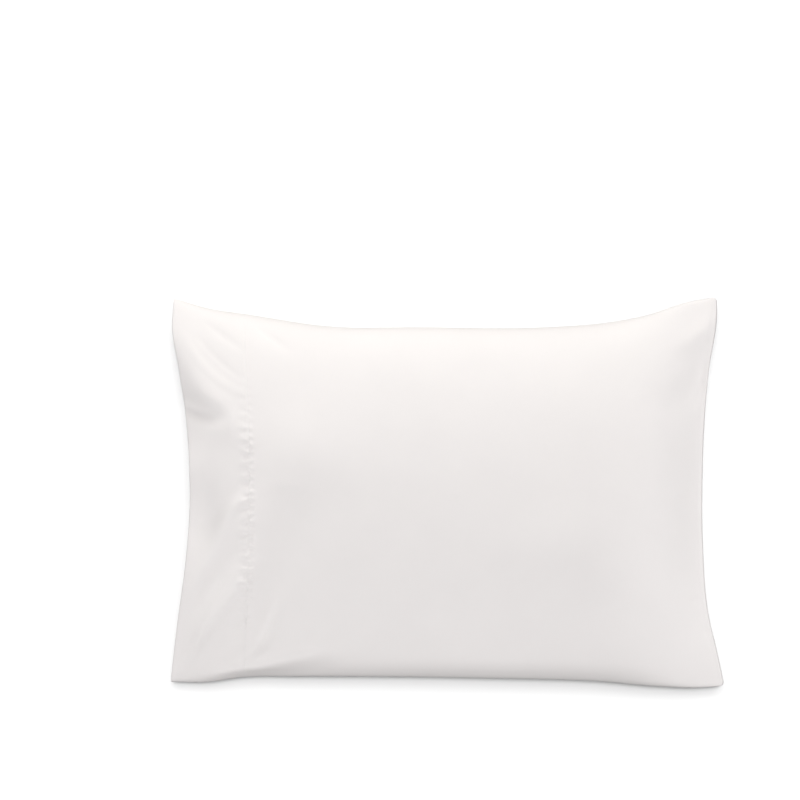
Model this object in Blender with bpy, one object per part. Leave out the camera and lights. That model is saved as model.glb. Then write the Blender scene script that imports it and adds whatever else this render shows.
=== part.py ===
"""A pillowcase on its pillow, lying on its back.

Metres, +Z up. X runs from the open end of the case (-X) to its sewn end (+X), Y across it. The origin
is on the surface that the case lies on, under the middle of its outline.

The case is one piece of cloth with a deep hem round its mouth: a thin shell, open at the mouth. The
pillow is a filled solid inside it, which stops short of the mouth and shows through it.

A place on the case is (u, v): u is 0 at the mouth and 1 at the sewn end, v is -1 and 1 along the long
edges. The front is the crowned face that looks up, the back is the face that lies down.
"""

import bmesh
import bpy
import numpy as np

FRONT, BACK = 1.0, -1.0

# The cloth.
CLOTH = 0.0018  # its thickness
HEM_DEPTH = 0.098  # depth of the hem round the mouth
HEM_EXTRA = 0.0006  # how much thicker its folded cloth is
HEM_STEP = 0.004  # length over which it thins at the stitching
SEAM = 0.006  # width of the sewn allowance, where front and back are one
SEAM_THICK = 0.0031  # half the thickness just inside the sewn edge
LEAST_GAP = 0.0005  # half the gap left between front and back where they lie together

# The filled form.
FRONT_RISE = 0.088  # crown of the front over the seams
BACK_DROP = 0.078  # what the back would hang under the seams if nothing carried it
SEAM_HEIGHT = 0.058  # the seams' height halfway along
MOUTH_DROP, MOUTH_DROP_FADE = 0.022, 4  # how far the corners of the mouth hang under that
CORNER_DROP, CORNER_FADE_U, CORNER_FADE_V = 0.014, 8, 4  # how far the corners of the sewn end do
DOME = 2.2, 0.55  # the rounding of a filled edge
END_DOME, END_REACH = (2.2, 1.0), 0.16  # the flatter one of the sewn end, and its length
FLANGE = 0.015  # about how far in from the sewn end the cloth still lies flat, before it rises
EAR_REACH, EAR_FLAT = 0.060, 0.45  # how far the sewn corners are thinned, and by how much
FLOOR_SOFT = 0.012  # height over which the back eases on to the surface it lies on

# The mouth.
LIP_RISE, LIP_BOW = 0.036, (2, 0.75)  # how far the front lip arches over the corners
LIP_FALL, BACK_LIP_BOW = 0.050, (4, 0.8)  # how far the back lip would hang under them
MOUTH_REACH = 0.150  # length over which the lips pass into the crown

# The pillow inside.
PILLOW_SETBACK = 0.055  # from the mouth's edge to the pillow's end
PILLOW_CORNER, PILLOW_CORNER_FADE = 0.030, 4  # how much further back that end's corners are
PILLOW_MIDDLE = 0.45  # height of the pillow's widest line as a share of its thickness
PILLOW_END_GAP = 0.014  # from the pillow to the sewn end
PILLOW_SIDE = 0.95  # the pillow's width as a share of the case's
PILLOW_GAP = 0.0025  # between the pillow and the cloth
PILLOW_REACH = 0.110  # length of the pillow's rounded end
PILLOW_EDGE = 0.030  # the same along its other edges

# The outline seen from above, as points (x, y) that a smooth curve joins.
MOUTH_EDGE = (
    (-0.363, -0.250), (-0.355, -0.186), (-0.341, -0.085), (-0.336, 0.010),
    (-0.339, 0.074), (-0.351, 0.162), (-0.360, 0.214), (-0.359, 0.254),
)
SEWN_EDGE = (
    (0.364, -0.255), (0.356, -0.218), (0.342, -0.158), (0.335, -0.074),
    (0.334, 0.0), (0.343, 0.160), (0.354, 0.232), (0.354, 0.256),
)
UPPER_EDGE = (
    (-0.359, 0.254), (-0.314, 0.241), (-0.262, 0.233), (-0.153, 0.217), (-0.036, 0.216),
    (0.129, 0.216), (0.216, 0.223), (0.262, 0.232), (0.315, 0.249), (0.354, 0.256),
)
LOWER_EDGE = (
    (-0.363, -0.250), (-0.318, -0.250), (-0.266, -0.243), (-0.194, -0.242), (-0.063, -0.242),
    (0.068, -0.244), (0.199, -0.248), (0.278, -0.255), (0.326, -0.257), (0.364, -0.255),
)
CORNER = 0.007  # radius of the sewn corners
# How fast each edge's own curve dies away across the case. The mouth's is gone by the hem stitching.
MOUTH_FADE, SEWN_FADE, SIDE_FADE = 8, 4, 1.5

# The main folds of the front: start, bend and end (x, y) of a line, half-width, and height over the
# cloth round it (a trough has a height below zero).
FOLDS = (
    # start             bend              end               width  height
    ((-0.370, 0.240), (-0.330, 0.126), (-0.250, 0.052), 0.022, 0.009),  # ridge off the upper corner
    ((-0.378, 0.134), (-0.328, 0.105), (-0.282, 0.094), 0.013, -0.012),  # hollow under it
    ((-0.245, 0.035), (-0.285, -0.042), (-0.355, -0.052), 0.015, -0.004),  # hollow halfway down
    ((-0.255, 0.018), (-0.297, -0.048), (-0.345, -0.146), 0.011, 0.003),  # first lower ridge
    ((-0.245, -0.040), (-0.290, -0.090), (-0.350, -0.190), 0.012, -0.004),  # trough under it
    ((-0.240, -0.080), (-0.292, -0.148), (-0.368, -0.252), 0.010, 0.005),  # second lower ridge
    ((-0.235, -0.140), (-0.270, -0.190), (-0.330, -0.225), 0.013, -0.002),  # trough under it
    ((-0.205, 0.010), (-0.215, -0.100), (-0.240, -0.200), 0.030, -0.007),  # trough past the hem
    ((-0.375, -0.260), (-0.275, -0.234), (-0.140, -0.204), 0.014, 0.005),  # roll along the lower edge
    ((0.372, 0.188), (0.338, 0.144), (0.272, 0.098), 0.017, -0.005),  # trough under the sewn corner
    ((-0.230, -0.224), (0.060, -0.222), (0.330, -0.234), 0.016, 0.003),  # fullness over the lower edge
)
FOLD_STEPS = 80  # points along a fold's line

# The broad swells and hollows of the front: middle (x, y), reach along X and Y, and height.
SWELLS = (
    # middle            reach           height
    ((-0.350, 0.030), (0.026, 0.035), 0.011),  # at the mouth, over the hollow halfway down
    ((-0.317, -0.030), (0.022, 0.045), -0.010),  # hollow beside it
    ((-0.350, -0.120), (0.035, 0.060), 0.009),  # at the mouth's lower half
    ((-0.175, 0.050), (0.050, 0.060), 0.006),  # past the hem
    ((0.150, -0.075), (0.070, 0.055), 0.0045),  # low on the right half
    ((0.265, 0.030), (0.035, 0.085), 0.0030),  # before the sewn end
    ((0.270, -0.180), (0.038, 0.060), -0.0035),  # hollow under it
)

# Cells of the solids' grids, as (where a zone ends, cells in it), from the mouth and from the middle.
CASE_LENGTH_ZONES = ((0.096, 13), (0.100, 1), (0.200, 7), (0.560, 6), (0.680, 7), (0.709, 3), (0.716, 2))
LINING_LENGTH_ZONES = ((0.096, 13), (0.100, 1), (0.200, 7), (0.560, 5), (0.680, 5), (0.716, 3))
CASE_WIDTH_ZONES = ((0.212, 15), (0.240, 3), (0.250, 2))
PILLOW_LENGTH_ZONES = ((0.030, 4), (0.130, 4), (0.560, 7), (0.630, 4), (0.647, 3))
PILLOW_WIDTH_ZONES = ((0.150, 5), (0.215, 3), (0.237, 3))
LENGTH, HALF_WIDTH = CASE_LENGTH_ZONES[-1][0], CASE_WIDTH_ZONES[-1][0]

OUTLINE_STEPS = 400  # points along each edge from which the outline's box is measured
STEEPEST = 0.35  # the least upward share of a normal that a wall's height allows for
TINY = 1e-4  # the step in u and v over which a slope is measured
WELD = 1e-5  # points of two skins this close are one


def through(points, share):
    """Points at these shares of its length along the smooth curve through the points given."""
    points = np.asarray(points)
    at = np.concatenate([[0.0], np.cumsum(np.linalg.norm(np.diff(points, axis=0), axis=1))])
    at /= at[-1]
    slope = np.gradient(points, at, axis=0)
    k = np.clip(np.searchsorted(at, share, side="right") - 1, 0, len(at) - 2)
    gap = (at[k + 1] - at[k])[..., None]
    t = (share - at[k])[..., None] / gap
    return (
        points[k] * (1 + 2 * t) * (1 - t) ** 2
        + points[k + 1] * (3 - 2 * t) * t**2
        + slope[k] * gap * t * (1 - t) ** 2
        - slope[k + 1] * gap * (1 - t) * t**2
    )


def rounding(u, v):
    """How far the rounding of the sewn corners moves a place: a square's corner becomes a disc's."""
    x = np.clip(1 - (1 - u) * LENGTH / CORNER, 0, 1)
    y = np.clip(1 - (1 - np.abs(v)) * HALF_WIDTH / CORNER, 0, 1)
    x_in, y_in = x * (1 - np.sqrt(1 - y**2 / 2)), y * (1 - np.sqrt(1 - x**2 / 2))
    return CORNER * np.stack([x_in, np.sign(v) * y_in], axis=-1)


def plan(u, v):
    """The place of (u, v) seen from above: the corners' own grid, moved by each edge's curve."""
    across = (v + 1) / 2
    u_, across_ = u[..., None], across[..., None]
    low_left, low_right = np.array(LOWER_EDGE[0]), np.array(LOWER_EDGE[-1])
    top_left, top_right = np.array(UPPER_EDGE[0]), np.array(UPPER_EDGE[-1])
    low, top = low_left + (low_right - low_left) * u_, top_left + (top_right - top_left) * u_
    left, right = low_left + (top_left - low_left) * across_, low_right + (top_right - low_right) * across_
    return (
        low * (1 - across_) + top * across_
        + (through(LOWER_EDGE, u) - low) * (1 - across_) ** SIDE_FADE
        + (through(UPPER_EDGE, u) - top) * across_**SIDE_FADE
        + (through(MOUTH_EDGE, across) - left) * (1 - u_) ** MOUTH_FADE
        + (through(SEWN_EDGE, across) - right) * u_**SEWN_FADE
        - rounding(u, v)
    )


def outline_middle():
    """The middle of the outline's box, which becomes the origin."""
    edges = MOUTH_EDGE, SEWN_EDGE, UPPER_EDGE, LOWER_EDGE
    points = np.concatenate([through(edge, np.linspace(0, 1, OUTLINE_STEPS)) for edge in edges])
    return (points.min(axis=0) + points.max(axis=0)) / 2


MIDDLE = outline_middle()


def bow(across, shape):
    """An arch over -1 to 1: 1 in the middle and 0 at both ends."""
    power, root = shape
    return (1 - np.abs(across) ** power) ** root


def dome(distance, reach, shape=DOME):
    """Share of the full height at a distance in from a filled edge whose rounding is this long."""
    return bow(1 - np.clip(distance / reach, 0, 1), shape)


def seam_plane(u, v):
    """Height of the seams, and of the sheet that would join them."""
    mouth = MOUTH_DROP * (1 - u) ** MOUTH_DROP_FADE
    corners = CORNER_DROP * u**CORNER_FADE_U * np.abs(v) ** CORNER_FADE_V
    return SEAM_HEIGHT - mouth - corners


def crown(u, v):
    """Share of the full crown at (u, v), leaving the mouth out."""
    from_side, from_end = (1 - np.abs(v)) * HALF_WIDTH, (1 - u) * LENGTH
    from_end = from_end**2 / (from_end + FLANGE)
    ear = EAR_FLAT * np.exp(-((from_side / EAR_REACH) ** 2) - (from_end / EAR_REACH) ** 2)
    return dome(from_side, HALF_WIDTH) * dome(from_end, END_REACH, END_DOME) * (1 - ear)


def fold_height(place):
    """What the folds add to the front at these places seen from above."""
    height = np.zeros(place.shape[:-1])
    t = np.linspace(0, 1, FOLD_STEPS)[:, None]
    for start, bend, end, width, rise in FOLDS:
        line = np.array(start) * (1 - t) ** 2 + 2 * np.array(bend) * t * (1 - t) + np.array(end) * t**2
        away = np.linalg.norm(place[..., None, :] - line, axis=-1)
        nearest = away.argmin(axis=-1)
        along = nearest / (FOLD_STEPS - 1)
        height += rise * np.exp(-((away.min(axis=-1) / width) ** 2)) * np.sin(np.pi * along)
    return height


def swelling(place):
    """What the broad swells and hollows add to the front at these places."""
    height = np.zeros(place.shape[:-1])
    for middle, reach, rise in SWELLS:
        height += rise * np.exp(-(((place - middle) / reach) ** 2).sum(axis=-1))
    return height


def hem_share(u):
    """1 on the hem and 0 past its stitching."""
    return np.clip((HEM_DEPTH + HEM_STEP / 2 - u * LENGTH) / HEM_STEP, 0, 1)


def on_floor(height):
    """A height above the surface that the case lies on: what would hang through lies flat."""
    eased = np.clip(height, 0, FLOOR_SOFT)
    return eased**2 / (2 * FLOOR_SOFT) + np.maximum(height - FLOOR_SOFT, 0)


def outside(u, v, side):
    """Points of the case's outer skin."""
    place = plan(u, v)
    from_mouth, from_end, from_side = u * LENGTH, (1 - u) * LENGTH, (1 - np.abs(v)) * HALF_WIDTH
    filled = 1 - (1 - np.clip(from_mouth / MOUTH_REACH, 0, 1)) ** 2
    sewn = SEAM_THICK * (1 - np.exp(-from_side / (SEAM / 2))) * (1 - np.exp(-from_end / SEAM))
    if side == FRONT:
        lip = LIP_RISE * bow(v, LIP_BOW)
        raised = fold_height(place) + swelling(place) + HEM_EXTRA * hem_share(u)
        raised = raised * np.clip(np.minimum(from_side, from_end) / (2 * SEAM), 0, 1)
        height = seam_plane(u, v) + lip * (1 - filled) + FRONT_RISE * crown(u, v) * filled + sewn + raised
    else:
        lip = LIP_FALL * bow(v, BACK_LIP_BOW)
        hung = lip * (1 - filled) + BACK_DROP * crown(u, v) * filled + sewn
        height = on_floor(seam_plane(u, v) + FLOOR_SOFT / 2 - hung)
    return np.concatenate([place - MIDDLE, height[..., None]], axis=-1)


def wall_height(u, v, side):
    """The cloth's thickness measured straight up and down, where the skin slopes."""
    du = outside(np.minimum(u + TINY, 1), v, side) - outside(np.maximum(u - TINY, 0), v, side)
    dv = outside(u, np.minimum(v + TINY, 1), side) - outside(u, np.maximum(v - TINY, -1), side)
    normal = np.cross(du, dv)
    upward = np.abs(normal[..., 2]) / np.maximum(np.linalg.norm(normal, axis=-1), 1e-12)
    return (CLOTH + HEM_EXTRA * hem_share(u)) / np.maximum(upward, STEEPEST)


def room(u, v, gap):
    """(place, lowest and highest height) of the room inside the case, this gap off its cloth."""
    front, back = outside(u, v, FRONT), outside(u, v, BACK)
    top = front[..., 2] - wall_height(u, v, FRONT) * (1 + gap / CLOTH)
    bottom = back[..., 2] + wall_height(u, v, BACK) * (1 + gap / CLOTH)
    middle = (top + bottom) / 2
    half = np.maximum((top - bottom) / 2, LEAST_GAP)
    return front[..., :2], middle - half, middle + half


def inside(u, v, side):
    """Points of the case's inner skin, which closes along the inner edge of the seams."""
    from_edge = np.minimum((1 - np.abs(v)) * HALF_WIDTH, (1 - u) * LENGTH)
    place, bottom, top = room(u * (1 - SEAM / LENGTH), v * (1 - SEAM / HALF_WIDTH), 0)
    middle, open_ = (bottom + top) / 2, np.clip(from_edge / (SEAM / 2), 0, 1)
    height = middle + side * (top - bottom) / 2 * open_
    return np.concatenate([place, height[..., None]], axis=-1)


def pillow_skin(u, v, side):
    """Points of the pillow: u and v run over the pillow, from its end near the mouth."""
    from_end, from_far = u * LENGTH, (1 - u) * LENGTH
    from_side = (1 - np.abs(v)) * HALF_WIDTH
    start = (PILLOW_SETBACK + PILLOW_CORNER * v**PILLOW_CORNER_FADE) / LENGTH
    length = 1 - PILLOW_END_GAP / LENGTH - start
    place, bottom, top = room(start + length * u, v * PILLOW_SIDE, PILLOW_GAP)
    round_end = dome(from_end, PILLOW_REACH) * dome(from_far, PILLOW_EDGE) * dome(from_side, PILLOW_EDGE)
    middle = bottom + (top - bottom) * PILLOW_MIDDLE
    reach = top - middle if side == FRONT else middle - bottom
    height = middle + side * reach * round_end
    return np.concatenate([place, height[..., None]], axis=-1)


def stations(zones):
    """Shares from 0 to 1 at which a grid's lines stand, from a table of zones."""
    at, begin = [0.0], 0.0
    for end, cells in zones:
        at.extend(np.linspace(begin, end, cells + 1)[1:])
        begin = end
    return np.array(at) / begin


def both_ways(zones):
    """Shares from -1 to 1, the same on both sides of the middle."""
    half = stations(zones)
    return np.concatenate([-half[:0:-1], half])


def add_skin(bm, points_of, us, vs, side):
    """Adds a grid with its points where points_of puts them."""
    grid = bmesh.ops.create_grid(bm, x_segments=len(us) - 1, y_segments=len(vs) - 1, size=1)["verts"]
    i = [round((vert.co.x + 1) / 2 * (len(us) - 1)) for vert in grid]
    j = [round((vert.co.y + 1) / 2 * (len(vs) - 1)) for vert in grid]
    for vert, point in zip(grid, points_of(us[i], vs[j], side)):
        vert.co = point


def finish(bm, name, colour, roughness, collection):
    """Makes the mesh an object with its own material."""
    bmesh.ops.recalc_face_normals(bm, faces=bm.faces)
    if bm.calc_volume(signed=True) < 0:
        bmesh.ops.reverse_faces(bm, faces=bm.faces)
    mesh = bpy.data.meshes.new(name)
    bm.to_mesh(mesh)
    bm.free()
    mesh.shade_smooth()
    material = bpy.data.materials.new(name)
    material.use_nodes = True
    shader = material.node_tree.nodes["Principled BSDF"]
    shader.inputs["Base Color"].default_value = (*colour, 1)
    shader.inputs["Roughness"].default_value = roughness
    shader.inputs["Metallic"].default_value = 0
    mesh.materials.append(material)
    collection.objects.link(bpy.data.objects.new(name, mesh))


def build_case(collection):
    """The case's cloth: an outer and an inner skin, joined round the mouth."""
    bm = bmesh.new()
    across = both_ways(CASE_WIDTH_ZONES)
    for points_of, zones in ((outside, CASE_LENGTH_ZONES), (inside, LINING_LENGTH_ZONES)):
        for side in (FRONT, BACK):
            add_skin(bm, points_of, stations(zones), across, side)
    bmesh.ops.remove_doubles(bm, verts=bm.verts, dist=WELD)
    bmesh.ops.bridge_loops(bm, edges=[edge for edge in bm.edges if edge.is_boundary])
    finish(bm, "pillowcase", (0.93, 0.915, 0.90), 0.75, collection)


def build_pillow(collection):
    """The pillow: two skins closed along all four edges."""
    bm = bmesh.new()
    for side in (FRONT, BACK):
        add_skin(bm, pillow_skin, stations(PILLOW_LENGTH_ZONES), both_ways(PILLOW_WIDTH_ZONES), side)
    bmesh.ops.remove_doubles(bm, verts=bm.verts, dist=WELD)
    finish(bm, "pillow", (0.90, 0.89, 0.87), 0.85, collection)


def main():
    for obj in list(bpy.data.objects):
        bpy.data.objects.remove(obj)
    collection = bpy.data.collections.new("pillowcase_on_pillow")
    bpy.context.scene.collection.children.link(collection)
    build_case(collection)
    build_pillow(collection)


main()
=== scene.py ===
"""The looks of a pillowcase on its pillow: cloth, hem, stitching, folds, pillow, light and camera.

Metres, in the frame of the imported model: X from the open end of the case to its sewn end, Y across it,
+Z up. A place on the case is (u, v): u is 0 at the mouth and 1 at the sewn end, v is -1 and 1 along the
long edges. The cloth is worked out from the same form as the solids, with the folds, the gathered hem
and the seams that are too fine for them.
"""

import math

import bmesh
import bpy
import numpy as np
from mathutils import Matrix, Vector

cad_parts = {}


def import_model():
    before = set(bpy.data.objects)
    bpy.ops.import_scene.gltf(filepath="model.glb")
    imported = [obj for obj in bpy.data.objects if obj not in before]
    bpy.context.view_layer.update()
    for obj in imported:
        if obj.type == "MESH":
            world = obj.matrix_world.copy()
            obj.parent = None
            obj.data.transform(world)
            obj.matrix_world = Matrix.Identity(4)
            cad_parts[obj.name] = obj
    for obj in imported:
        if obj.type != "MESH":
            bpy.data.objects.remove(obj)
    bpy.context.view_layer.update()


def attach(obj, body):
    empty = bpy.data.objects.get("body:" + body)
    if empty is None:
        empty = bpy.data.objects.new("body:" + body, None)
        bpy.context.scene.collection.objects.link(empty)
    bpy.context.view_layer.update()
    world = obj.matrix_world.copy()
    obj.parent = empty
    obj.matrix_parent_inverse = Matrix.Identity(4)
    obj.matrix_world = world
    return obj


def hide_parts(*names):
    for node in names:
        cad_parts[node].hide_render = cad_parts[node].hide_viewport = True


FRONT, BACK = 1.0, -1.0

# The case's form, which is that of the solids but for a thinner seam.
LENGTH, HALF_WIDTH = 0.716, 0.250  # the lengths that u and v run over, from 0 to 1
HEM_DEPTH, HEM_STEP = 0.098, 0.004  # depth of the hem, and the length over which it thins at its end
SEAM, SEAM_THICK = 0.006, 0.0020  # width of the seams, and half their thickness just inside the edge
SEAM_SIDE = SEAM / 4  # how far in from a long side the seam has most of its thickness
LEAST_GAP = 0.0005  # half the room that is always left inside the case
FRONT_RISE, BACK_DROP = 0.088, 0.078  # the full crown over the seams, and the back under them
SEAM_HEIGHT = 0.058
MOUTH_DROP, MOUTH_DROP_FADE = 0.022, 4  # how far the seams sink towards the mouth
CORNER_DROP, CORNER_FADE_U, CORNER_FADE_V = 0.014, 8, 4  # and towards the sewn corners
DOME = 2.2, 0.55  # the rounding of a filled edge: power and root of its arch
END_DOME, END_REACH, FLANGE = (2.2, 1.0), 0.16, 0.015  # that of the sewn end, behind a flat flange
EAR_REACH, EAR_FLAT = 0.060, 0.45  # how far an ear reaches, and how flat it is
FLOOR_SOFT = 0.012  # height over which the cloth settles on the floor
LIP_RISE, LIP_BOW = 0.036, (2, 0.75)  # the mouth's front edge
LIP_FALL, BACK_LIP_BOW = 0.050, (4, 0.8)  # and its back edge
MOUTH_REACH = 0.150  # from the mouth to the full crown

# The outline seen from above: points of a smooth curve along each edge.
MOUTH_EDGE = (
    (-0.363, -0.250), (-0.355, -0.186), (-0.341, -0.085), (-0.336, 0.010),
    (-0.339, 0.074), (-0.351, 0.162), (-0.360, 0.214), (-0.359, 0.254),
)
SEWN_EDGE = (
    (0.364, -0.255), (0.356, -0.218), (0.342, -0.158), (0.335, -0.074),
    (0.334, 0.0), (0.343, 0.160), (0.354, 0.232), (0.354, 0.256),
)
UPPER_EDGE = (
    (-0.359, 0.254), (-0.314, 0.241), (-0.262, 0.233), (-0.153, 0.217), (-0.036, 0.216),
    (0.129, 0.216), (0.216, 0.223), (0.262, 0.232), (0.315, 0.249), (0.354, 0.256),
)
LOWER_EDGE = (
    (-0.363, -0.250), (-0.318, -0.250), (-0.266, -0.243), (-0.194, -0.242), (-0.063, -0.242),
    (0.068, -0.244), (0.199, -0.248), (0.278, -0.255), (0.326, -0.257), (0.364, -0.255),
)
OUTLINE_STEPS = 400  # places on each edge at which the outline's box is measured
CORNER = 0.007  # radius of the sewn corners
MOUTH_FADE, SEWN_FADE, SIDE_FADE = 8, 4, 1.5  # how soon an edge's curve dies out over the cloth

# The pillow, which is that of the solids.
PILLOW_SETBACK, PILLOW_END_GAP = 0.055, 0.014  # from the mouth and from the sewn end
PILLOW_SIDE = 0.95  # share of the case's width
PILLOW_CORNER, PILLOW_CORNER_FADE = 0.030, 4  # how far its corners at the mouth are set back
PILLOW_MIDDLE, PILLOW_GAP = 0.45, 0.0025  # its edge's share of the room's height, and its gap all round
PILLOW_REACH, PILLOW_EDGE = 0.110, 0.030  # rounding at the mouth, and along the other edges

# Folds: start, bend and end (x, y) of a line seen from above, half-width, height over the cloth round
# it (a trough has a height below zero), and how crisp its crest is (2 is soft, 1 is a crease). The main
# ones are in the solids too, where the roll along the lower edge is lower.
MAIN_FOLDS = (
    # start             bend              end               width  height  crisp
    # ridge off the upper corner, and the hollow under it
    ((-0.370, 0.240), (-0.330, 0.126), (-0.250, 0.052), 0.022, 0.009, 2.0),
    ((-0.378, 0.134), (-0.328, 0.105), (-0.282, 0.094), 0.013, -0.012, 2.0),
    # hollow halfway down
    ((-0.245, 0.035), (-0.285, -0.042), (-0.355, -0.052), 0.015, -0.004, 2.0),
    # two ridges on the hem's lower half, each with a trough under it
    ((-0.255, 0.018), (-0.297, -0.048), (-0.345, -0.146), 0.011, 0.003, 2.0),
    ((-0.245, -0.040), (-0.290, -0.090), (-0.350, -0.190), 0.012, -0.004, 2.0),
    ((-0.240, -0.080), (-0.292, -0.148), (-0.368, -0.252), 0.010, 0.005, 2.0),
    ((-0.235, -0.140), (-0.270, -0.190), (-0.330, -0.225), 0.013, -0.002, 2.0),
    # trough past the hem
    ((-0.205, 0.010), (-0.215, -0.100), (-0.240, -0.200), 0.030, -0.007, 2.0),
    # roll along the lower edge
    ((-0.325, -0.254), (-0.268, -0.232), (-0.138, -0.205), 0.012, 0.010, 2.0),
    # trough under the upper sewn corner
    ((0.372, 0.188), (0.338, 0.144), (0.272, 0.098), 0.017, -0.005, 2.0),
    # fullness over the lower edge
    ((-0.230, -0.224), (0.060, -0.222), (0.330, -0.234), 0.016, 0.003, 2.0),
)
FINE_FOLDS = (
    # ridge and two creases on the hem's upper half, and a crease past the stitching
    ((-0.348, 0.213), (-0.322, 0.147), (-0.249, 0.121), 0.006, 0.0015, 2.0),
    ((-0.330, 0.208), (-0.300, 0.168), (-0.258, 0.142), 0.004, -0.0010, 2.0),
    ((-0.325, 0.228), (-0.295, 0.205), (-0.262, 0.182), 0.006, -0.0020, 2.0),
    ((-0.255, 0.220), (-0.232, 0.203), (-0.200, 0.180), 0.006, -0.0025, 2.0),
    # ridge across the stitching near the lower corner
    ((-0.282, -0.228), (-0.228, -0.206), (-0.216, -0.125), 0.007, 0.0045, 1.8),
    # ridge off the stitching halfway down
    ((-0.250, 0.004), (-0.280, -0.012), (-0.304, -0.052), 0.008, 0.0040, 2.0),
    # ridge down the hem's lower half
    ((-0.270, -0.095), (-0.323, -0.159), (-0.336, -0.229), 0.007, 0.0022, 2.0),
    # ridge into the upper sewn corner
    ((0.292, 0.182), (0.336, 0.206), (0.357, 0.234), 0.014, 0.0045, 2.0),
    # small wrinkles before the sewn end
    ((0.289, -0.052), (0.301, -0.055), (0.313, -0.058), 0.006, 0.001, 2.0),
    ((0.295, -0.017), (0.310, -0.011), (0.325, -0.005), 0.005, -0.001, 2.0),
    ((0.316, -0.145), (0.322, -0.142), (0.329, -0.139), 0.005, -0.001, 2.0),
    ((0.336, -0.188), (0.340, -0.185), (0.345, -0.182), 0.005, -0.001, 2.0),
)
# Broad swells and hollows: middle, reach each way, and height over the cloth round it.
SWELLS = (
    # middle            reach           height
    ((-0.350, 0.030), (0.026, 0.035), 0.011),  # at the mouth, over the hollow halfway down
    ((-0.317, -0.030), (0.022, 0.045), -0.010),  # hollow beside it
    ((-0.350, -0.120), (0.035, 0.060), 0.009),  # at the mouth's lower half
    ((-0.175, 0.050), (0.050, 0.060), 0.006),  # past the hem
    ((0.150, -0.075), (0.070, 0.055), 0.0045),  # low on the right half
    ((0.265, 0.030), (0.035, 0.085), 0.0030),  # before the sewn end
    ((0.270, -0.180), (0.038, 0.060), -0.0035),  # hollow under it
)
FOLD_SEGMENTS = 24  # straight pieces of a fold's line
FOLD_REACH = 4  # half-widths from its line past which a fold adds nothing


def through(points, share):
    """Points at these shares of its length along the smooth curve through the points given."""
    points = np.asarray(points)
    at = np.concatenate([[0.0], np.cumsum(np.linalg.norm(np.diff(points, axis=0), axis=1))])
    at /= at[-1]
    slope = np.gradient(points, at, axis=0)
    k = np.clip(np.searchsorted(at, share, side="right") - 1, 0, len(at) - 2)
    gap = (at[k + 1] - at[k])[..., None]
    t = (share - at[k])[..., None] / gap
    return (
        points[k] * (1 + 2 * t) * (1 - t) ** 2
        + points[k + 1] * (3 - 2 * t) * t**2
        + slope[k] * gap * t * (1 - t) ** 2
        - slope[k + 1] * gap * (1 - t) * t**2
    )


def rounding(u, v):
    """How far the rounding of the sewn corners moves a place: a square's corner becomes a disc's."""
    x = np.clip(1 - (1 - u) * LENGTH / CORNER, 0, 1)
    y = np.clip(1 - (1 - np.abs(v)) * HALF_WIDTH / CORNER, 0, 1)
    x_in, y_in = x * (1 - np.sqrt(1 - y**2 / 2)), y * (1 - np.sqrt(1 - x**2 / 2))
    return CORNER * np.stack([x_in, np.sign(v) * y_in], axis=-1)


def plan(u, v):
    """The place of (u, v) seen from above: the corners' own grid, moved by each edge's curve."""
    across = (v + 1) / 2
    u_, across_ = u[..., None], across[..., None]
    low_left, low_right = np.array(LOWER_EDGE[0]), np.array(LOWER_EDGE[-1])
    top_left, top_right = np.array(UPPER_EDGE[0]), np.array(UPPER_EDGE[-1])
    low, top = low_left + (low_right - low_left) * u_, top_left + (top_right - top_left) * u_
    left = low_left + (top_left - low_left) * across_
    right = low_right + (top_right - low_right) * across_
    return (
        low * (1 - across_) + top * across_
        + (through(LOWER_EDGE, u) - low) * (1 - across_) ** SIDE_FADE
        + (through(UPPER_EDGE, u) - top) * across_**SIDE_FADE
        + (through(MOUTH_EDGE, across) - left) * (1 - u_) ** MOUTH_FADE
        + (through(SEWN_EDGE, across) - right) * u_**SEWN_FADE
        - rounding(u, v)
    )


def outline_middle():
    """The middle of the outline's box, which is the frame's origin."""
    edges = MOUTH_EDGE, SEWN_EDGE, UPPER_EDGE, LOWER_EDGE
    points = np.concatenate([through(edge, np.linspace(0, 1, OUTLINE_STEPS)) for edge in edges])
    return (points.min(axis=0) + points.max(axis=0)) / 2


MIDDLE = outline_middle()


def bow(across, shape):
    """An arch over -1 to 1: 1 in the middle and 0 at both ends."""
    power, root = shape
    return (1 - np.abs(across) ** power) ** root


def dome(distance, reach, shape=DOME):
    """Share of the full height at a distance in from a filled edge whose rounding is this long."""
    return bow(1 - np.clip(distance / reach, 0, 1), shape)


def seam_plane(u, v):
    """Height of the seams, and of the sheet that would join them."""
    mouth = MOUTH_DROP * (1 - u) ** MOUTH_DROP_FADE
    corners = CORNER_DROP * u**CORNER_FADE_U * np.abs(v) ** CORNER_FADE_V
    return SEAM_HEIGHT - mouth - corners


def crown(u, v):
    """Share of the full crown at (u, v), leaving the mouth out."""
    from_side, from_end = (1 - np.abs(v)) * HALF_WIDTH, (1 - u) * LENGTH
    from_end = from_end**2 / (from_end + FLANGE)
    ear = EAR_FLAT * np.exp(-((from_side / EAR_REACH) ** 2) - (from_end / EAR_REACH) ** 2)
    return dome(from_side, HALF_WIDTH) * dome(from_end, END_REACH, END_DOME) * (1 - ear)


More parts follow.
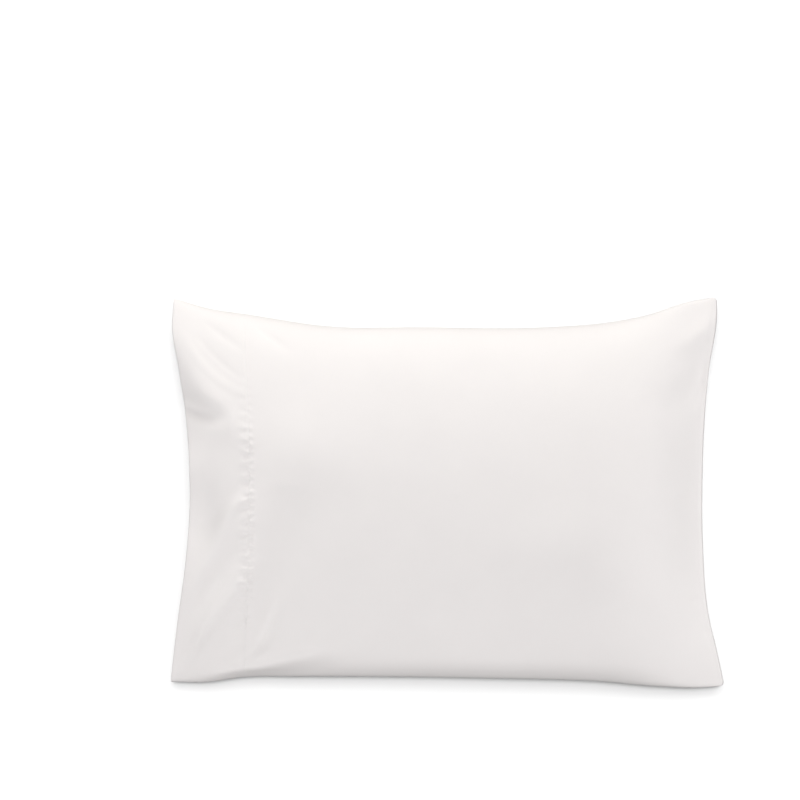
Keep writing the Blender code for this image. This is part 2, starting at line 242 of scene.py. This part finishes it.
def fold_height(place, folds):
    """What these folds add to the cloth at these places seen from above."""
    height = np.zeros(place.shape[:-1])
    t = np.linspace(0, 1, FOLD_SEGMENTS + 1)[:, None]
    for start, bend, end, width, rise, crisp in folds:
        start, bend, end = np.array(start), np.array(bend), np.array(end)
        line = start * (1 - t) ** 2 + 2 * bend * t * (1 - t) + end * t**2
        reach = FOLD_REACH * width
        lowest, highest = line.min(axis=0) - reach, line.max(axis=0) + reach
        near = ((place > lowest) & (place < highest)).all(axis=-1)
        spots = place[near][:, None, :]
        run = line[1:] - line[:-1]
        share = np.clip(((spots - line[:-1]) * run).sum(axis=-1) / (run * run).sum(axis=-1), 0, 1)
        away = np.linalg.norm(spots - line[:-1] - share[..., None] * run, axis=-1)
        nearest = away.argmin(axis=-1)
        rows = np.arange(len(nearest))
        along = (nearest + share[rows, nearest]) / FOLD_SEGMENTS
        profile = np.exp(-((away[rows, nearest] / width) ** crisp))
        height[near] += rise * np.sin(np.pi * along) * profile
    return height


def swelling(place):
    """What the broad swells and hollows add to the cloth at these places."""
    height = np.zeros(place.shape[:-1])
    for middle, reach, rise in SWELLS:
        height += rise * np.exp(-(((place - middle) / reach) ** 2).sum(axis=-1))
    return height


def hem_share(u):
    """1 on the hem and 0 past its stitching."""
    return np.clip((HEM_DEPTH + HEM_STEP / 2 - u * LENGTH) / HEM_STEP, 0, 1)


def on_floor(height):
    """A height above the surface that the case lies on: what would hang through lies flat."""
    eased = np.clip(height, 0, FLOOR_SOFT)
    return eased**2 / (2 * FLOOR_SOFT) + np.maximum(height - FLOOR_SOFT, 0)


# The cloth, which is thinner than in the solids, and the forms that the solids have no room for.
CLOTH = 0.0011
HEM_EXTRA = 0.0005  # how much thicker the hem is
STITCH_LINE = 0.0965  # from the mouth to the hem's stitching
GROOVE_WIDTH, GROOVE_DEPTH = 0.0013, 0.0006  # the groove that the stitches pull
GATHER_WIDTH, GATHER_EXTRA = 0.014, 0.0014  # how much thicker the cloth is where it is gathered
# Puckers along the stitching: side of it, pitch, distance from it, reach away from it, half-width along
# it, and height.
PUCKERS = (
    # side  pitch   offset  reach   half    height
    (-1, 0.0170, 0.0066, 0.0062, 0.0040, 0.0015),
    (-1, 0.0090, 0.0036, 0.0034, 0.0022, 0.0007),
    (1, 0.0105, 0.0034, 0.0034, 0.0024, 0.0010),
)
PUCKER_SEED = 5
PUCKER_BAND, PUCKER_ENDS = 0.024, 0.94  # how far from the stitching and how far along it they are made
PUCKER_SPREAD, PUCKER_FADE = 0.66, 4  # how far along the hem they last, and how suddenly they fade
PUCKER_LEAN = 1.1  # how much they grow down the hem
# Chance in the puckers' pitch, distance and height, as shares, and in their slant.
PITCH_CHANCE, OFFSET_CHANCE = (0.75, 1.25), (0.85, 1.15)
HEIGHT_CHANCE, SLANT_CHANCE = (0.6, 1.0), (-0.4, 0.4)
WELT, WELT_HEIGHT = 0.0062, 0.0007  # the edge of the turned-in allowance along the sewn end
WELT_WIDTH = WELT / 4
UNEVEN, UNEVEN_SEED = 16, 11  # broad uneven swellings of the filling
UNEVEN_BOX = (-0.26, -0.16), (0.26, 0.16)  # the corners between which their middles lie
UNEVEN_SIZE, UNEVEN_HEIGHT = (0.035, 0.075), 0.0008

# Zones of the grids: distance from the mouth, from the middle or from the pillow's end at which a zone
# stops, and the cells in it.
LENGTH_ZONES = (
    (0.090, 38), (0.104, 12), (0.125, 10), (0.200, 16), (0.560, 30), (0.680, 24), (0.716, 14),
)
LINING_LENGTH_ZONES = ((0.104, 20), (0.200, 12), (0.560, 9), (0.680, 12), (0.716, 6))
WIDTH_ZONES = ((0.205, 98), (0.240, 14), (0.250, 8))
PILLOW_LENGTH_ZONES = ((0.012, 6), (0.130, 30), (0.560, 16), (0.635, 8), (0.647, 4))
PILLOW_WIDTH_ZONES = ((0.150, 22), (0.225, 20), (0.237, 6))


def unevenness(place):
    """The filling's own unevenness."""
    rng = np.random.default_rng(UNEVEN_SEED)
    height = np.zeros(place.shape[:-1])
    for _ in range(UNEVEN):
        middle = rng.uniform(*UNEVEN_BOX)
        size = rng.uniform(*UNEVEN_SIZE)
        rise = rng.uniform(-UNEVEN_HEIGHT, UNEVEN_HEIGHT)
        height += rise * np.exp(-(((place - middle) / size) ** 2).sum(axis=-1))
    return height


def puckers(u, v):
    """The gathers that the stitching pulls into the cloth on both sides of it."""
    rng = np.random.default_rng(PUCKER_SEED)
    from_line, along = u * LENGTH - STITCH_LINE, v * HALF_WIDTH
    height = np.zeros(u.shape)
    near = np.abs(from_line) < PUCKER_BAND
    from_line, along = from_line[near], along[near]
    gathers = np.zeros(along.shape)
    for side, pitch, offset, reach, half, rise in PUCKERS:
        at, turn = -HALF_WIDTH * PUCKER_ENDS, 1
        while at < HALF_WIDTH * PUCKER_ENDS:
            at, turn = at + pitch / 2 * rng.uniform(*PITCH_CHANCE), -turn
            off = side * offset * rng.uniform(*OFFSET_CHANCE)
            slant = rng.uniform(*SLANT_CHANCE)
            share = at / HALF_WIDTH
            strength = (1 - PUCKER_LEAN * share) * math.exp(-((share / PUCKER_SPREAD) ** PUCKER_FADE))
            top = turn * rise * strength * rng.uniform(*HEIGHT_CHANCE)
            out, across = (from_line - off) / reach, (along - at - slant * (from_line - off)) / half
            gathers += top * np.exp(-(out**2) - across**2)
    height[near] = gathers
    return height


def outside(u, v, side, fine=True):
    """Points of the case's outer skin, with or without its finest forms."""
    place = plan(u, v)
    from_mouth, from_end, from_side = u * LENGTH, (1 - u) * LENGTH, (1 - np.abs(v)) * HALF_WIDTH
    filled = 1 - (1 - np.clip(from_mouth / MOUTH_REACH, 0, 1)) ** 2
    sewn = SEAM_THICK * (1 - np.exp(-from_side / SEAM_SIDE)) * (1 - np.exp(-from_end / SEAM))
    if side == FRONT:
        lip = LIP_RISE * bow(v, LIP_BOW)
        raised = fold_height(place, MAIN_FOLDS + FINE_FOLDS) + swelling(place) + unevenness(place)
        raised = raised + HEM_EXTRA * hem_share(u)
        if fine:
            groove = GROOVE_DEPTH * np.exp(-(((from_mouth - STITCH_LINE) / GROOVE_WIDTH) ** 2))
            welt = WELT_HEIGHT * np.exp(-(((from_end - WELT) / WELT_WIDTH) ** 2))
            raised = raised + puckers(u, v) - groove - welt
        raised = raised * np.clip(np.minimum(from_side, from_end) / (2 * SEAM), 0, 1)
        risen = FRONT_RISE * crown(u, v) * filled
        height = seam_plane(u, v) + lip * (1 - filled) + risen + sewn + raised
    else:
        lip = LIP_FALL * bow(v, BACK_LIP_BOW)
        hung = lip * (1 - filled) + BACK_DROP * crown(u, v) * filled + sewn
        height = on_floor(seam_plane(u, v) + FLOOR_SOFT / 2 - hung)
    return np.concatenate([place - MIDDLE, height[..., None]], axis=-1)


TINY = 1e-4  # a step in u or v, small enough to give a slope
STEEPEST = 0.35  # the least upward share of a normal that a wall's height allows for
LEAST_LENGTH = 1e-12  # keeps a division from being one by zero


def wall_height(u, v, side):
    """The cloth's thickness measured straight up and down, where the skin slopes."""
    u_low, u_high = np.maximum(u - TINY, 0), np.minimum(u + TINY, 1)
    v_low, v_high = np.maximum(v - TINY, -1), np.minimum(v + TINY, 1)
    du = outside(u_high, v, side, False) - outside(u_low, v, side, False)
    dv = outside(u, v_high, side, False) - outside(u, v_low, side, False)
    normal = np.cross(du, dv)
    upward = np.abs(normal[..., 2]) / np.maximum(np.linalg.norm(normal, axis=-1), LEAST_LENGTH)
    gathered = GATHER_EXTRA * np.exp(-(((u * LENGTH - STITCH_LINE) / GATHER_WIDTH) ** 2))
    return (CLOTH + HEM_EXTRA * hem_share(u) + gathered) / np.maximum(upward, STEEPEST)


def room(u, v, gap):
    """(place, lowest and highest height) of the room inside the case, this gap off its cloth."""
    front, back = outside(u, v, FRONT, False), outside(u, v, BACK)
    top = front[..., 2] - wall_height(u, v, FRONT) * (1 + gap / CLOTH)
    bottom = back[..., 2] + wall_height(u, v, BACK) * (1 + gap / CLOTH)
    middle = (top + bottom) / 2
    half = np.maximum((top - bottom) / 2, LEAST_GAP)
    return front[..., :2], middle - half, middle + half


def inside(u, v, side):
    """Points of the case's inner skin, which closes along the inner edge of the seams."""
    from_edge = np.minimum((1 - np.abs(v)) * HALF_WIDTH, (1 - u) * LENGTH)
    place, bottom, top = room(u * (1 - SEAM / LENGTH), v * (1 - SEAM / HALF_WIDTH), 0)
    middle, open_ = (bottom + top) / 2, np.clip(from_edge / (SEAM / 2), 0, 1)
    height = middle + side * (top - bottom) / 2 * open_
    return np.concatenate([place, height[..., None]], axis=-1)


def pillow_skin(u, v, side):
    """Points of the pillow: u and v run over the pillow, from its end near the mouth."""
    from_end, from_far = u * LENGTH, (1 - u) * LENGTH
    from_side = (1 - np.abs(v)) * HALF_WIDTH
    start = (PILLOW_SETBACK + PILLOW_CORNER * v**PILLOW_CORNER_FADE) / LENGTH
    end = 1 - PILLOW_END_GAP / LENGTH
    place, bottom, top = room(start + (end - start) * u, v * PILLOW_SIDE, PILLOW_GAP)
    rounded = dome(from_end, PILLOW_REACH) * dome(from_far, PILLOW_EDGE)
    rounded = rounded * dome(from_side, PILLOW_EDGE)
    middle = bottom + (top - bottom) * PILLOW_MIDDLE
    reach = top - middle if side == FRONT else middle - bottom
    height = middle + side * reach * rounded
    return np.concatenate([place, height[..., None]], axis=-1)


def stations(zones):
    """Shares from 0 to 1 at which a grid's lines stand, from a table of zones."""
    at, begin = [0.0], 0.0
    for end, cells in zones:
        at.extend(np.linspace(begin, end, cells + 1)[1:])
        begin = end
    return np.array(at) / begin


def both_ways(zones):
    """Shares from -1 to 1, the same on both sides of the middle."""
    half = stations(zones)
    return np.concatenate([-half[:0:-1], half])


class Skins:
    """Grids of points that are joined along shared edges into one mesh."""

    def __init__(self):
        self.points, self.places, self.faces, self.count = [], [], [], 0

    def add(self, points, places):
        """Adds points with their places on the cloth in metres, and returns their numbers."""
        number = self.count + np.arange(len(points))
        self.points.append(points)
        self.places.append(places)
        self.count += len(points)
        return number

    def grid(self, points_of, us, vs, side, edge=None):
        """Adds a grid, and returns the numbers of its points.

        Where edge, the numbers of another grid, is given, it shares that grid's points along the seams:
        both long sides and the sewn end.
        """
        u, v = np.meshgrid(us, vs, indexing="ij")
        new = np.ones(u.shape, bool)
        if edge is not None:
            new[-1, :] = new[:, 0] = new[:, -1] = False
        index = np.zeros(u.shape, int) if edge is None else edge.copy()
        points = points_of(u, v, side)
        places = np.stack([u[new] * LENGTH, v[new] * HALF_WIDTH], axis=-1)
        index[new] = self.add(points[new], places)
        self.cover(index)
        return index

    def cover(self, index):
        """Adds the faces between the rows of a grid of point numbers."""
        corners = index[:-1, :-1], index[1:, :-1], index[1:, 1:], index[:-1, 1:]
        self.faces.append(np.stack([corner.ravel() for corner in corners], axis=1))

    def mesh(self, name):
        """The mesh, with its normals facing out and the places as its UV map, in metres."""
        faces = np.concatenate(self.faces)
        mesh = bpy.data.meshes.new(name)
        mesh.from_pydata(np.concatenate(self.points).tolist(), [], faces.tolist())
        bm = bmesh.new()
        bm.from_mesh(mesh)
        bmesh.ops.recalc_face_normals(bm, faces=bm.faces)
        if bm.calc_volume(signed=True) < 0:
            bmesh.ops.reverse_faces(bm, faces=bm.faces)
        bm.to_mesh(mesh)
        bm.free()
        corner_points = np.empty(len(mesh.loops), int)
        mesh.loops.foreach_get("vertex_index", corner_points)
        layer = mesh.uv_layers.new(name="cloth")
        layer.data.foreach_set("uv", np.concatenate(self.places)[corner_points].ravel())
        mesh.shade_smooth()
        return mesh


def add_object(mesh, name, material):
    """Puts the mesh in the scene with its material."""
    obj = bpy.data.objects.new(name, mesh)
    mesh.materials.append(material)
    bpy.context.scene.collection.objects.link(obj)
    return obj


def make_case(material):
    """The case's cloth: outer and inner skins joined round the mouth by a rounded rim."""
    skins = Skins()
    across = both_ways(WIDTH_ZONES)
    rims = []
    front = skins.grid(outside, stations(LENGTH_ZONES), across, FRONT)
    back = skins.grid(outside, stations(LENGTH_ZONES), across, BACK, edge=front)
    lining = skins.grid(inside, stations(LINING_LENGTH_ZONES), across, FRONT)
    back_lining = skins.grid(inside, stations(LINING_LENGTH_ZONES), across, BACK, edge=lining)
    points = np.concatenate(skins.points)
    for outer, inner in ((front[0], lining[0]), (back[0], back_lining[0])):
        ridge = (points[outer] + points[inner]) / 2 - (CLOTH / 2, 0, 0)
        places = np.stack([np.full(len(across), -CLOTH), across * HALF_WIDTH], axis=-1)
        number = skins.add(ridge, places)
        if rims:
            number[[0, -1]] = rims[0][[0, -1]]
        rims.append(number)
        skins.cover(np.stack([outer, number, inner]))
    return add_object(skins.mesh("case"), "case", material)


def make_pillow(material):
    """The pillow: two skins joined along all four edges."""
    skins = Skins()
    us, vs = stations(PILLOW_LENGTH_ZONES), both_ways(PILLOW_WIDTH_ZONES)
    front = skins.grid(pillow_skin, us, vs, FRONT)
    u, v = np.meshgrid(us, vs, indexing="ij")
    index = front.copy()
    points = pillow_skin(u, v, BACK)[1:-1, 1:-1].reshape(-1, 3)
    places = np.stack([u * LENGTH, v * HALF_WIDTH], axis=-1)[1:-1, 1:-1].reshape(-1, 2)
    index[1:-1, 1:-1] = skins.add(points, places).reshape(len(us) - 2, len(vs) - 2)
    skins.cover(index)
    return add_object(skins.mesh("filled_pillow"), "filled_pillow", material)


STITCH, STITCH_GAP = 0.0026, 0.0006  # length of a stitch, and the gap to the next
STITCH_ENDS = 0.985  # share of the half-width at which the stitching stops
THREAD = 0.00022  # radius of the thread
STITCH_BOW, STITCH_SINK = 1.2, 0.4  # how far it bows up from its ends, and how far these sink, in radii
STITCH_RINGS, STITCH_SIDES = 4, 6


def make_stitches(material):
    """The thread of the hem's lockstitch: a short bowed bar for each stitch, front and back."""
    bm = bmesh.new()
    count = int(2 * STITCH_ENDS * HALF_WIDTH / (STITCH + STITCH_GAP))
    starts = np.linspace(-STITCH_ENDS, STITCH_ENDS - STITCH / HALF_WIDTH, count)
    shares = np.linspace(0, 1, STITCH_RINGS)
    for side in (FRONT, BACK):
        v = starts[:, None] + shares * STITCH / HALF_WIDTH
        u = np.full(v.shape, STITCH_LINE / LENGTH)
        line = outside(u, v, side)
        ahead = outside(u + TINY, v, side) - line
        forward = outside(u, v + TINY, side) - line
        normal = np.cross(ahead, forward)
        normal *= side / np.linalg.norm(normal, axis=-1, keepdims=True)
        lift = THREAD * (np.sin(np.pi * shares) * STITCH_BOW - STITCH_SINK)
        line += normal * lift[None, :, None]
        aside = ahead / np.linalg.norm(ahead, axis=-1, keepdims=True)
        turn = np.arange(STITCH_SIDES) * 2 * np.pi / STITCH_SIDES
        sideways = np.cos(turn)[:, None] * aside[:, :, None, :]
        upright = np.sin(turn)[:, None] * normal[:, :, None, :]
        rings = line[:, :, None, :] + THREAD * (sideways + upright)
        for stitch in rings:
            loops = [[bm.verts.new(point) for point in ring] for ring in stitch]
            for low, high in zip(loops, loops[1:]):
                for k in range(STITCH_SIDES):
                    n = (k + 1) % STITCH_SIDES
                    bm.faces.new((low[k], low[n], high[n], high[k]))
            bm.faces.new(loops[0][::-1])
            bm.faces.new(loops[-1])
    bmesh.ops.recalc_face_normals(bm, faces=bm.faces)
    mesh = bpy.data.meshes.new("hem_stitches")
    bm.to_mesh(mesh)
    bm.free()
    mesh.shade_smooth()
    return add_object(mesh, "hem_stitches", material)


MIX_SHARE, MIX_LOW, MIX_HIGH, MIX_RESULT = 0, 6, 7, 2  # a colour mix's own sockets, by number


class Nodes:
    """Shorthand for building a material's nodes."""

    def __init__(self, name):
        self.material = bpy.data.materials.new(name)
        self.material.use_nodes = True
        self.tree = self.material.node_tree
        self.shader = self.tree.nodes["Principled BSDF"]

    def add(self, kind, inputs=(), **settings):
        """Adds a node. An input is linked where it is given a socket, and set where it is a value."""
        node = self.tree.nodes.new(kind)
        for name, value in settings.items():
            setattr(node, name, value)
        for socket, value in dict(inputs).items():
            if isinstance(value, bpy.types.NodeSocket):
                self.tree.links.new(value, node.inputs[socket])
            else:
                node.inputs[socket].default_value = value
        return node

    def math(self, operation, *values):
        """The result of an operation on these values or sockets."""
        return self.add("ShaderNodeMath", dict(enumerate(values)), operation=operation).outputs[0]

    def noise(self, vector, scale, detail, stretch=(1, 1, 1)):
        """Noise at these places, which can be stretched."""
        if stretch != (1, 1, 1):
            vector = self.add("ShaderNodeMapping", {"Vector": vector, "Scale": stretch}).outputs[0]
        inputs = {"Vector": vector, "Scale": scale, "Detail": detail}
        return self.add("ShaderNodeTexNoise", inputs).outputs[0]

    def mixed(self, share, low, high):
        """A colour between two others, by this share."""
        mix = self.add("ShaderNodeMix", {MIX_SHARE: share}, data_type="RGBA")
        mix.inputs[MIX_LOW].default_value = (*low, 1)
        mix.inputs[MIX_HIGH].default_value = (*high, 1)
        return mix.outputs[MIX_RESULT]

    def link(self, value, socket):
        """Links a socket to one of the shader's own."""
        self.tree.links.new(value, self.shader.inputs[socket])

    def with_values(self, values):
        """Sets constant values on the shader's own sockets, and returns the material."""
        for socket, value in values.items():
            self.shader.inputs[socket].default_value = value
        return self.material

    def bump(self, height, distance, strength, before=None):
        """The normal of this relief, on top of the one before."""
        inputs = {"Height": height, "Distance": distance, "Strength": strength}
        if before is not None:
            inputs["Normal"] = before
        return self.add("ShaderNodeBump", inputs).outputs[0]


# Cloths: name, colour of the threads' tops and of the painted shade between them (which the slubs' and
# clouds' random tone also reaches), pitch and relief of the weave, roughness, and sheen.
CASE_CLOTH = (
    "microfibre", (0.875, 0.840, 0.830), (0.830, 0.797, 0.788), 0.00042, 0.00005, 0.6, 0.12,
)
PILLOW_CLOTH = (
    "pillow_cotton", (0.84, 0.83, 0.80), (0.78, 0.77, 0.74), 0.0006, 0.00009, 0.8, 0.05,
)
SLUB_LONG, SLUB_SHORT, SLUB_DETAIL = 60, 1400, 2  # changes to the metre along a thread and across it
CLOUD_SCALE, CLOUD_DETAIL = 14.0, 3  # the slow unevenness of tone
WEAVE_TONE, SLUB_TONE, CLOUD_TONE = 0.25, 0.3, 0.6  # what each adds to the tone
TONE_LOW, TONE_HIGH = 0.3, 1.1  # the tones of the painted shade and of the threads' tops
SLUB_RELIEF, RELIEF_STRENGTH = 0.6, 0.5  # a slub's height over the weave's, and the bumps' strength
CLOTH_GLOSS, SHEEN_ROUGHNESS = 0.3, 0.45
# The thread's colour in the hollows of its twist, which is painted shade, and on its ridges.
THREAD_SHADE, THREAD_COLOUR = (0.80, 0.79, 0.78), (0.90, 0.89, 0.88)
TWIST_SCALE, TWIST_DETAIL, TWIST_RELIEF, TWIST_STRENGTH = 2500.0, 1, 0.00008, 0.6
THREAD_ROUGHNESS = 0.5


def woven(name, colour, shade, pitch, relief, roughness, sheen):
    """A plain-woven cloth: crossing threads with painted shade between them, slubs, and a little
    unevenness of tone.
    """
    n = Nodes(name)
    place = n.add("ShaderNodeTexCoord").outputs["UV"]
    split = n.add("ShaderNodeSeparateXYZ", {"Vector": place})
    turn = 2 * math.pi / pitch
    warp, weft = (n.math("SINE", n.math("MULTIPLY", split.outputs[axis], turn)) for axis in ("X", "Y"))
    weave = n.math("MULTIPLY_ADD", n.math("MULTIPLY", warp, weft), 0.5, 0.5)
    slubs = n.math(
        "ADD",
        n.noise(place, 1.0, SLUB_DETAIL, (SLUB_LONG, SLUB_SHORT, 1)),
        n.noise(place, 1.0, SLUB_DETAIL, (SLUB_SHORT, SLUB_LONG, 1)),
    )
    tone = n.math("MULTIPLY", n.noise(place, CLOUD_SCALE, CLOUD_DETAIL), CLOUD_TONE)
    tone = n.math("MULTIPLY_ADD", slubs, SLUB_TONE, tone)
    tone = n.math("MULTIPLY_ADD", weave, WEAVE_TONE, tone)
    ends = {"Value": tone, "From Min": TONE_LOW, "From Max": TONE_HIGH, "To Min": 0.0, "To Max": 1.0}
    ramp = n.add("ShaderNodeMapRange", ends).outputs[0]
    # The weave darkens the colour between the threads, which is painted shade; slubs and clouds add
    # random tone.
    n.link(n.mixed(ramp, shade, colour), "Base Color")
    first = n.bump(slubs, relief * SLUB_RELIEF, RELIEF_STRENGTH)
    n.link(n.bump(weave, relief, RELIEF_STRENGTH, first), "Normal")
    return n.with_values({
        "Roughness": roughness,
        "Specular IOR Level": CLOTH_GLOSS,
        "Sheen Weight": sheen,
        "Sheen Roughness": SHEEN_ROUGHNESS,
    })


def thread_material():
    """White sewing thread with its twist, and painted shade in the twist's hollows."""
    n = Nodes("sewing_thread")
    place = n.add("ShaderNodeTexCoord").outputs["Object"]
    twist = n.noise(place, TWIST_SCALE, TWIST_DETAIL)
    n.link(n.bump(twist, TWIST_RELIEF, TWIST_STRENGTH), "Normal")
    # Darker where the twist's relief is low: painted shade.
    n.link(n.mixed(twist, THREAD_SHADE, THREAD_COLOUR), "Base Color")
    return n.with_values({"Roughness": THREAD_ROUGHNESS})


# The photograph's frame: its size and the pillow's middle in pixels, and the size of a pixel.
FRAME_SIZE = 800
MIDDLE_PIXEL = (447.75, 492.4)
PIXEL = 0.00131
LENS, SENSOR = 200.0, 36.0


def make_camera():
    """Looks straight down, with the pillow where the photograph has it in its frame."""
    camera = bpy.data.objects.new("camera", bpy.data.cameras.new("camera"))
    camera.data.lens, camera.data.sensor_width = LENS, SENSOR
    across = (FRAME_SIZE / 2 - MIDDLE_PIXEL[0]) * PIXEL
    up = (MIDDLE_PIXEL[1] - FRAME_SIZE / 2) * PIXEL
    # A pixel has its size at the height of the seams, which make the outline.
    camera.location = (across, up, SEAM_HEIGHT + FRAME_SIZE * PIXEL * LENS / SENSOR)
    bpy.context.scene.collection.objects.link(camera)
    bpy.context.scene.camera = camera


# Soft boxes: direction from the pillow's middle and height over the floor in degrees, size, power and
# colour. Each stands this far off and faces the pillow.
LIGHT_DISTANCE = 2.6
WARM, COOL = (1.0, 0.995, 0.965), (0.995, 0.997, 1.0)
LIGHTS = (
    # name   round  up    size        watts colour
    ("back", 94, 11, (1.4, 0.9), 47.6, WARM),
    ("right", 0, 12, (1.2, 1.2), 29.2, COOL),
    ("left", 180, 16, (1.2, 1.2), 19.0, COOL),
    ("front", 266, 42, (1.2, 1.2), 25.3, COOL),
    ("top", 90, 70, (1.2, 1.2), 13.5, COOL),
)
# The surround: its strength above and below the horizon, and how far from it the change ends.
SURROUND, SURROUND_BELOW, HORIZON = 0.30, 0.10, 0.05
# Lights for the floor alone: height over it and width in degrees, and strength. Each stands towards the
# pillow's upper edge, so that the shadow falls past its lower edge.
FLOOR_LIGHTS = (
    ("floor_near", 85, 8, 1.5),
    ("floor_far", 75.5, 27, 1.5),
)
FLOOR_LIGHT_ROUND = 90  # their direction from the pillow, in degrees round from +X


def towards(around, up):
    """The direction that is this many degrees round from +X and up from the floor."""
    around, up = math.radians(around), math.radians(up)
    return Vector((math.cos(up) * math.cos(around), math.cos(up) * math.sin(around), math.sin(up)))


def make_surround():
    """An even white surround, darker under the horizon."""
    world = bpy.data.worlds.new("studio")
    world.use_nodes = True
    tree = world.node_tree
    split = tree.nodes.new("ShaderNodeSeparateXYZ")
    level = tree.nodes.new("ShaderNodeMapRange")
    tree.links.new(tree.nodes.new("ShaderNodeTexCoord").outputs["Generated"], split.inputs[0])
    tree.links.new(split.outputs["Z"], level.inputs["Value"])
    ends = {"From Min": -HORIZON, "From Max": HORIZON, "To Min": SURROUND_BELOW, "To Max": SURROUND}
    for socket, value in ends.items():
        level.inputs[socket].default_value = value
    background = tree.nodes["Background"]
    background.inputs["Color"].default_value = (1, 1, 1, 1)
    tree.links.new(level.outputs[0], background.inputs["Strength"])
    bpy.context.scene.world = world


def make_light(floor):
    """Soft boxes that light all but the floor, and suns that light the floor alone."""
    lit = bpy.data.collections.new("backdrop_lit")
    unlit = bpy.data.collections.new("backdrop_unlit")
    for collection in (lit, unlit):
        collection.objects.link(floor)
    unlit.collection_objects[0].light_linking.link_state = "EXCLUDE"
    for name, around, up, size, watts, colour in LIGHTS:
        data = bpy.data.lights.new(name, "AREA")
        data.shape, data.energy, data.color = "RECTANGLE", watts, colour
        data.size, data.size_y = size
        light = bpy.data.objects.new(name, data)
        light.location = towards(around, up) * LIGHT_DISTANCE
        light.rotation_euler = (-light.location).to_track_quat("-Z", "Y").to_euler()
        light.light_linking.receiver_collection = unlit
        bpy.context.scene.collection.objects.link(light)
    for name, up, angle, strength in FLOOR_LIGHTS:
        data = bpy.data.lights.new(name, "SUN")
        data.energy, data.angle = strength, math.radians(angle)
        light = bpy.data.objects.new(name, data)
        facing = -towards(FLOOR_LIGHT_ROUND, up)
        light.rotation_euler = facing.to_track_quat("-Z", "Y").to_euler()
        light.light_linking.receiver_collection = lit
        bpy.context.scene.collection.objects.link(light)
    bpy.context.scene.view_settings.view_transform = "Standard"


FLOOR_SIZE, FLOOR_DROP = 40.0, 0.0004  # it lies just under the case, which then doesn't cut into it
FLOOR_COLOUR, FLOOR_ROUGHNESS = (0.9, 0.9, 0.9, 1), 0.9


def make_floor():
    """A plain white floor. It throws no light back on the pillow, like a backdrop that is far off."""
    bm = bmesh.new()
    bmesh.ops.create_grid(bm, x_segments=1, y_segments=1, size=FLOOR_SIZE / 2)
    mesh = bpy.data.meshes.new("floor")
    bm.to_mesh(mesh)
    bm.free()
    n = Nodes("floor")
    white = n.with_values(
        {"Base Color": FLOOR_COLOUR, "Roughness": FLOOR_ROUGHNESS, "Specular IOR Level": 0.0}
    )
    floor = add_object(mesh, "floor", white)
    floor.location.z = -FLOOR_DROP
    floor.visible_diffuse = floor.visible_glossy = False
    return floor


def main():
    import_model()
    cloth, cotton = woven(*CASE_CLOTH), woven(*PILLOW_CLOTH)
    case = make_case(cloth)
    pillow = make_pillow(cotton)
    stitches = make_stitches(thread_material())
    for piece, node in ((case, "pillowcase"), (stitches, "pillowcase"), (pillow, "pillow")):
        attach(piece, "root")
    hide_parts("pillowcase")
    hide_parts("pillow")
    make_camera()
    make_surround()
    make_light(make_floor())


main()
